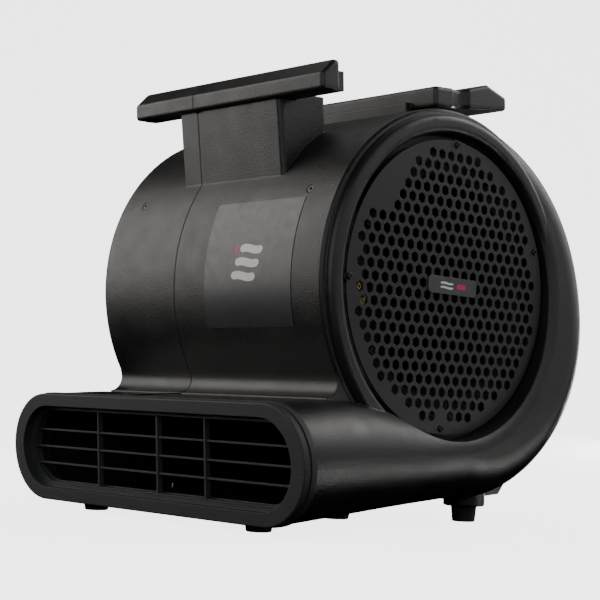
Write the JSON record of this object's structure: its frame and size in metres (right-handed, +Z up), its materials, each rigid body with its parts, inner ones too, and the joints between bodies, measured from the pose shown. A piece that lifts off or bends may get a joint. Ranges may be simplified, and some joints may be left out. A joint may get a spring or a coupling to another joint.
{
  "type": "air mover",
  "caption": "Centrifugal air mover: snail-shell plastic housing with T-shaped stands, twin perforated inlets, blower wheel on a motor shaft and a wide louvred outlet",
  "frame": {"origin": "On the floor, under the centre of the bounding box, with the machine standing on its front and rear feet", "axes": "+Z up, -Y out of the outlet (front), +Y towards the control panel at the back, +X along the wheel axis towards the right inlet"},
  "size_m": [0.4586, 0.4914, 0.4677],
  "materials": {
    "housing_plastic": "rotomoulded, fine leather-like grain, satin sheen",
    "collar_plastic": "plain moulded, matte",
    "grille_coating": "powder-coated steel sheet",
    "badge_film": "domed plate without lettering",
    "label_film": "thin satin film without lettering",
    "black_screws": "blackened steel",
    "zinc_steel": "zinc plated",
    "brass": "bright brass",
    "galvanised_sheet": "galvanised pressed sheet",
    "ring_paint": "black painted pressed sheet",
    "wheel_plastic": "black moulded plastic",
    "hub_aluminium": "turned",
    "motor_paint": "satin paint",
    "cast_aluminium": "as cast",
    "core_steel": "laminated steel",
    "copper_wire": "varnished copper wire",
    "bright_steel": "ground bright steel",
    "capacitor_can": "drawn can",
    "rubber": "moulded black rubber",
    "panel_coating": "powder-coated plate",
    "switch_plastic": "black switch plastic",
    "rocker_plastic": "red rocker, slightly glossy",
    "knob_plastic": "black knob with a raised pointer",
    "nickel": "nickel plated",
    "button_plastic": "red button"
  },
  "bodies": {
    "housing": {"bearing_balls": "bright_steel", "bearing_outer_rings": "bright_steel", "bracket_bolts": "zinc_steel", "bracket_grommets": "rubber", "breaker_body": "switch_plastic", "breaker_nut": "nickel", "capacitor": "capacitor_can", "capacitor_clamp": "zinc_steel", "collar_screws": "black_screws", "control_plate": "panel_coating", "cord_gland": "switch_plastic", "cord_gland_cap": "switch_plastic", "cord_gland_locknut": "zinc_steel", "cord_gland_seal": "rubber", "earth_screws": "brass", "foot_screws": "zinc_steel", "front_feet": "rubber", "front_label": "label_film", "grille_badge_left": "badge_film", "grille_badge_right": "badge_film", "grille_screws_left": "black_screws", "grille_screws_right": "black_screws", "housing_left": "housing_plastic", "housing_right": "housing_plastic", "inlet_grille_left": "grille_coating", "inlet_grille_right": "grille_coating", "inlet_ring_left": "ring_paint", "inlet_ring_right": "ring_paint", "inlet_ring_screws_left": "black_screws", "inlet_ring_screws_right": "black_screws", "middle_feet": "rubber", "motor_bolts": "zinc_steel", "motor_bracket": "galvanised_sheet", "motor_cap_drive": "cast_aluminium", "motor_cap_rear": "cast_aluminium", "motor_shell": "motor_paint", "motor_stator": "core_steel", "motor_windings": "copper_wire", "outlet_collar": "collar_plastic", "outlet_grille": "collar_plastic", "panel_gasket": "rubber", "panel_screws": "black_screws", "power_switch_frame": "switch_plastic", "rear_feet": "rubber", "speed_switch": "switch_plastic", "wrap_screws": "black_screws"},
    "wheel": {"wheel_plate": "wheel_plastic", "wheel_blades_left": "wheel_plastic", "wheel_blades_right": "wheel_plastic", "wheel_rings": "wheel_plastic", "wheel_hub": "hub_aluminium", "hub_rivets": "zinc_steel", "hub_set_screw": "zinc_steel", "motor_shaft": "bright_steel", "motor_rotor": "core_steel", "bearing_inner_rings": "bright_steel"},
    "rocker": {"power_switch_rocker": "rocker_plastic"},
    "knob": {"speed_knob": "knob_plastic", "speed_knob_shaft": "nickel"},
    "button": {"breaker_button": "button_plastic"}
  },
  "joints": [
    {"name": "wheel_spin", "type": "hinge", "parent": "housing", "child": "wheel", "pos_m": [0, 0.0082, 0.2427], "axis": [1, 0, 0], "continuous": true},
    {"name": "rocker_tilt", "type": "hinge", "parent": "housing", "child": "rocker", "pos_m": [-0.056, 0.20543, 0.35202], "axis": [1, 0, 0], "range_deg": [0, 24]},
    {"name": "speed_knob_turn", "type": "hinge", "parent": "housing", "child": "knob", "pos_m": [-0.012, 0.20499, 0.35178], "axis": [0, 0.8746, 0.4848], "range_deg": [-90, 90]},
    {"name": "breaker_press", "type": "slide", "parent": "housing", "child": "button", "axis": [0, -0.8746, -0.4848], "range_m": [0, 0.003], "stiffness_N_per_m": 400}
  ]
}
